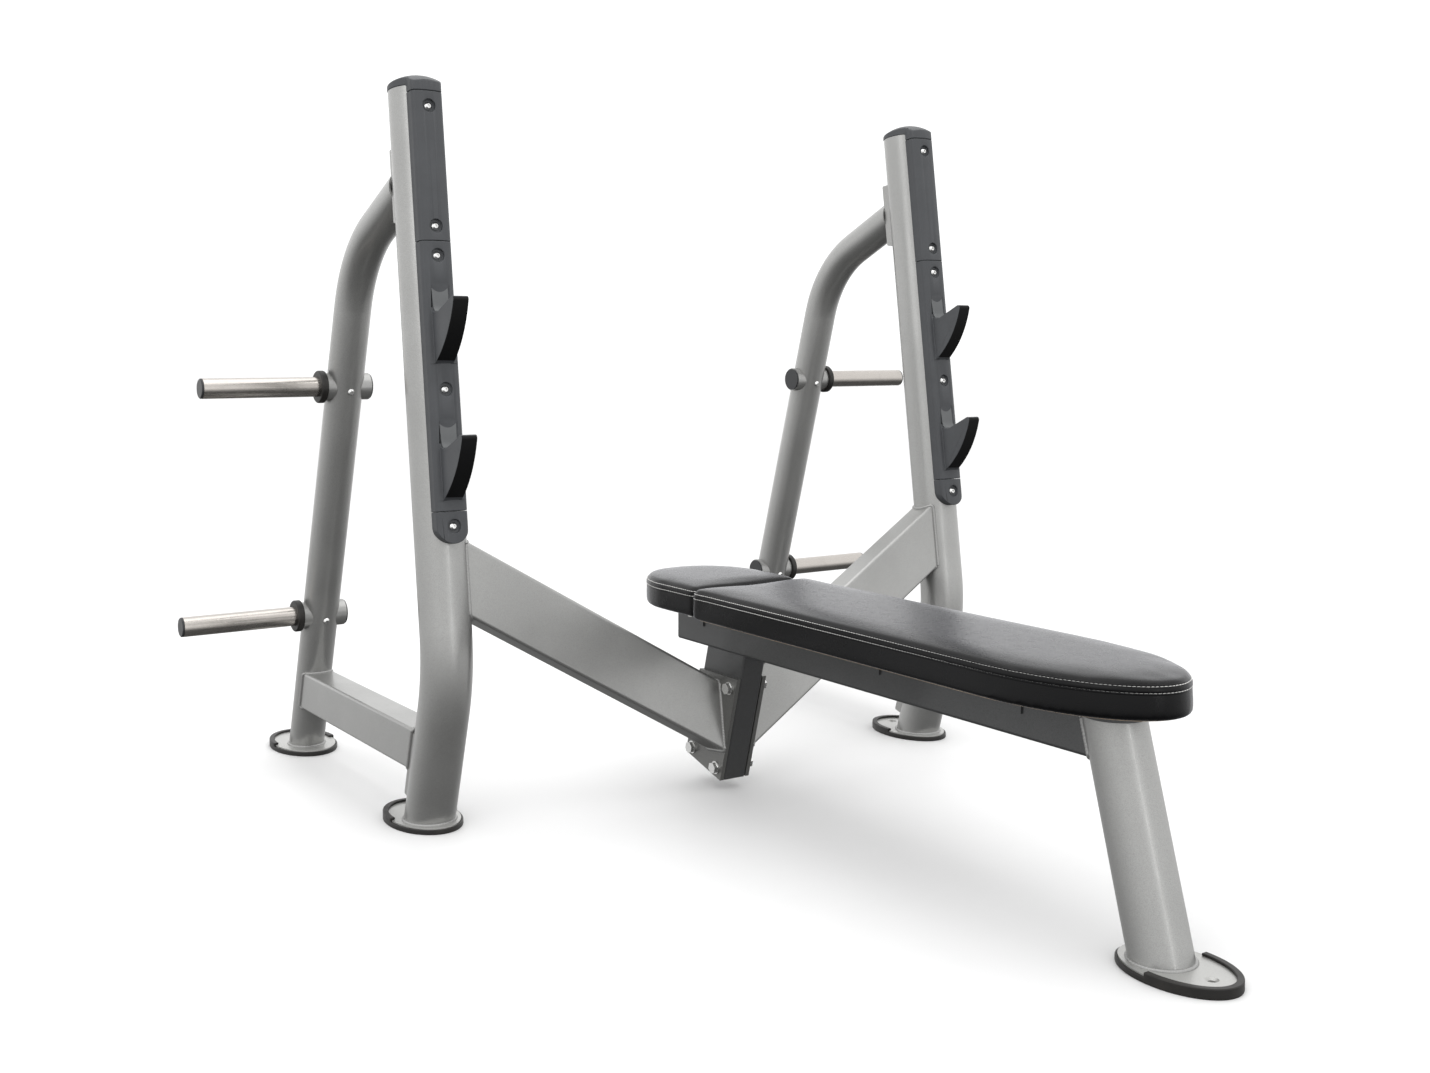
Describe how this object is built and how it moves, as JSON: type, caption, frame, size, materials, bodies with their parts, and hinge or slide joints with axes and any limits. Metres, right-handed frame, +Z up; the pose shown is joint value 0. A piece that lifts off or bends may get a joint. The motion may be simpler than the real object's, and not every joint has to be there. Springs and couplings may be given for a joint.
{
  "type": "olympic bench press",
  "caption": "Flat weight bench joined to two leaning bar racks by crossed beams, with hooks for a long bar, plate storage horns and rubber-booted feet.",
  "frame": {"origin": "middle of the bounding box, on the floor", "axes": "+Z up, +Y towards the racks and the head of the bench, +X across the bench; the user lies with the feet at -Y"},
  "size_m": [1.689, 1.984, 1.305],
  "materials": {
    "silver_paint": "satin metallic powder coat",
    "graphite_paint": "satin dark powder coat",
    "rack_plastic": "moulded, fine grain",
    "plated_fastener": "bright zinc plated",
    "horn_steel": "turned and brushed",
    "foot_rubber": "matte",
    "pad_vinyl": "coated upholstery cloth over foam",
    "plywood": "raw plywood"
  },
  "bodies": {
    "root": {"upright_left": "silver_paint", "upright_right": "silver_paint", "rear_tube_left": "silver_paint", "rear_tube_right": "silver_paint", "rear_joint_blocks": "silver_paint", "brace_joint_blocks": "silver_paint", "side_brace_left": "silver_paint", "side_brace_right": "silver_paint", "cross_beam_left": "silver_paint", "cross_beam_right": "silver_paint", "flange_plate_left": "silver_paint", "flange_plate_right": "silver_paint", "front_leg": "silver_paint", "horn_sleeves_left": "silver_paint", "horn_sleeves_right": "silver_paint", "foot_plate_front": "silver_paint", "foot_plate_upright_left": "silver_paint", "foot_plate_upright_right": "silver_paint", "foot_plate_rear_left": "silver_paint", "foot_plate_rear_right": "silver_paint", "bench_beam": "graphite_paint", "centre_post": "graphite_paint", "leg_top_plate": "graphite_paint", "pad_brackets": "graphite_paint", "upright_cap_left": "rack_plastic", "upright_cap_right": "rack_plastic", "upper_cover_left": "rack_plastic", "upper_cover_right": "rack_plastic", "hook_rack_left": "rack_plastic", "hook_rack_right": "rack_plastic", "rack_end_cap_left": "rack_plastic", "rack_end_cap_right": "rack_plastic", "beam_end_plug": "rack_plastic", "post_end_plug": "rack_plastic", "horn_end_caps": "rack_plastic", "sleeve_plugs": "rack_plastic", "cover_screws": "plated_fastener", "threaded_inserts": "plated_fastener", "horn_set_screws": "plated_fastener", "flange_bolts": "plated_fastener", "flange_nuts": "plated_fastener", "flange_washers": "plated_fastener", "pad_screws": "plated_fastener", "storage_horn_left_upper": "horn_steel", "storage_horn_left_lower": "horn_steel", "storage_horn_right_upper": "horn_steel", "storage_horn_right_lower": "horn_steel", "foot_boot_front": "foot_rubber", "foot_boot_upright_left": "foot_rubber", "foot_boot_upright_right": "foot_rubber", "foot_boot_rear_left": "foot_rubber", "foot_boot_rear_right": "foot_rubber", "stop_rings_left": "foot_rubber", "stop_rings_right": "foot_rubber", "main_pad": "pad_vinyl", "head_pad": "pad_vinyl", "main_board": "plywood", "head_board": "plywood"}
  },
  "joints": []
}
